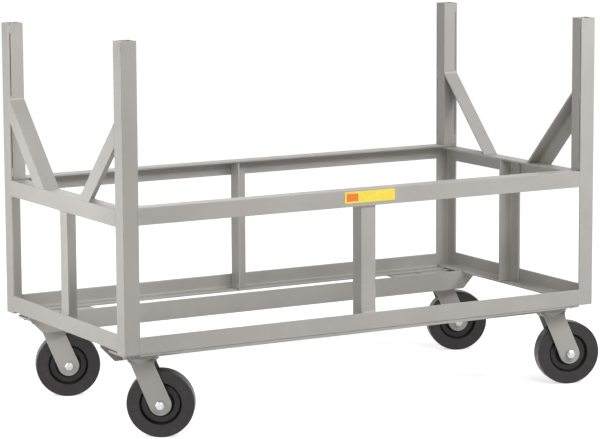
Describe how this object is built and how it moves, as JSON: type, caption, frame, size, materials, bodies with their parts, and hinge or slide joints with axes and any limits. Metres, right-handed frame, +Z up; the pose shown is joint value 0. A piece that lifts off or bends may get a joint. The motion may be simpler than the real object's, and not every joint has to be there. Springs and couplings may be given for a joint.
{
  "type": "long material cart",
  "caption": "Welded angle-steel cart for long stock, with braced uprights at the corners, an open lower bay and swivel casters.",
  "frame": {"origin": "On the floor, at the middle of the bounding box of the whole cart with its casters as parked.", "axes": "+X along the length, +Y from the labelled front side to the rear side, +Z up."},
  "size_m": [1.7214, 0.8576, 1.1827],
  "materials": {
    "frame_paint": "light warm grey gloss paint over mill steel",
    "wheel_black": "dark moulded phenolic with a dull sheen",
    "zinc": "bright zinc-plated steel",
    "bearing_steel": "bare bearing steel",
    "label_yellow": "plain yellow label stock with an orange block"
  },
  "bodies": {
    "frame": {"corner_post_fl": "frame_paint", "corner_post_fr": "frame_paint", "corner_post_rl": "frame_paint", "corner_post_rr": "frame_paint", "post_box_angle_fl": "frame_paint", "post_box_angle_fr": "frame_paint", "post_box_angle_rl": "frame_paint", "post_box_angle_rr": "frame_paint", "upper_rail_front": "frame_paint", "upper_rail_rear": "frame_paint", "upper_rail_left": "frame_paint", "upper_rail_right": "frame_paint", "lower_rail_front": "frame_paint", "lower_rail_rear": "frame_paint", "lower_rail_left": "frame_paint", "lower_rail_right": "frame_paint", "mid_strut_front": "frame_paint", "mid_strut_rear": "frame_paint", "mid_strut_left": "frame_paint", "mid_strut_right": "frame_paint", "end_brace_fl": "frame_paint", "end_brace_fr": "frame_paint", "end_brace_rl": "frame_paint", "end_brace_rr": "frame_paint", "stringer_front": "frame_paint", "stringer_rear": "frame_paint", "sill_bar_front": "frame_paint", "sill_bar_rear": "frame_paint", "caster_pad_fl": "frame_paint", "caster_pad_fr": "frame_paint", "caster_pad_rl": "frame_paint", "caster_pad_rr": "frame_paint", "caster_plate_fl": "frame_paint", "caster_plate_fr": "frame_paint", "caster_plate_rl": "frame_paint", "caster_plate_rr": "frame_paint", "kingpin_fl": "bearing_steel", "kingpin_fr": "bearing_steel", "kingpin_rl": "bearing_steel", "kingpin_rr": "bearing_steel", "label_plate": "label_yellow"},
    "fork_fl": {"caster_fork_fl": "frame_paint", "axle_fl": "zinc"},
    "wheel_body_fl": {"wheel_fl": "wheel_black", "hub_bearing_fl": "bearing_steel"},
    "fork_fr": {"caster_fork_fr": "frame_paint", "axle_fr": "zinc"},
    "wheel_body_fr": {"wheel_fr": "wheel_black", "hub_bearing_fr": "bearing_steel"},
    "fork_rl": {"caster_fork_rl": "frame_paint", "axle_rl": "zinc"},
    "wheel_body_rl": {"wheel_rl": "wheel_black", "hub_bearing_rl": "bearing_steel"},
    "fork_rr": {"caster_fork_rr": "frame_paint", "axle_rr": "zinc"},
    "wheel_body_rr": {"wheel_rr": "wheel_black", "hub_bearing_rr": "bearing_steel"}
  },
  "joints": [
    {"name": "swivel_fl", "type": "hinge", "parent": "frame", "child": "fork_fl", "pos_m": [-0.76221, -0.32465, 0.245], "axis": [0, 0, 1], "continuous": true},
    {"name": "roll_fl", "type": "hinge", "parent": "fork_fl", "child": "wheel_body_fl", "pos_m": [-0.71185, -0.35539, 0.1016], "axis": [0.521, 0.8536, 0], "continuous": true},
    {"name": "swivel_fr", "type": "hinge", "parent": "frame", "child": "fork_fr", "pos_m": [0.70079, -0.32465, 0.245], "axis": [0, 0, 1], "continuous": true},
    {"name": "roll_fr", "type": "hinge", "parent": "fork_fr", "child": "wheel_body_fr", "pos_m": [0.75721, -0.3419, 0.1016], "axis": [0.2924, 0.9563, 0], "continuous": true},
    {"name": "swivel_rl", "type": "hinge", "parent": "frame", "child": "fork_rl", "pos_m": [-0.76221, 0.33215, 0.245], "axis": [0, 0, 1], "continuous": true},
    {"name": "roll_rl", "type": "hinge", "parent": "fork_rl", "child": "wheel_body_rl", "pos_m": [-0.70684, 0.31178, 0.1016], "axis": [0.3453, 0.9385, 0], "continuous": true},
    {"name": "swivel_rr", "type": "hinge", "parent": "frame", "child": "fork_rr", "pos_m": [0.70079, 0.33215, 0.245], "axis": [0, 0, 1], "continuous": true},
    {"name": "roll_rr", "type": "hinge", "parent": "fork_rr", "child": "wheel_body_rr", "pos_m": [0.75587, 0.31101, 0.1016], "axis": [0.3584, 0.9336, 0], "continuous": true}
  ]
}
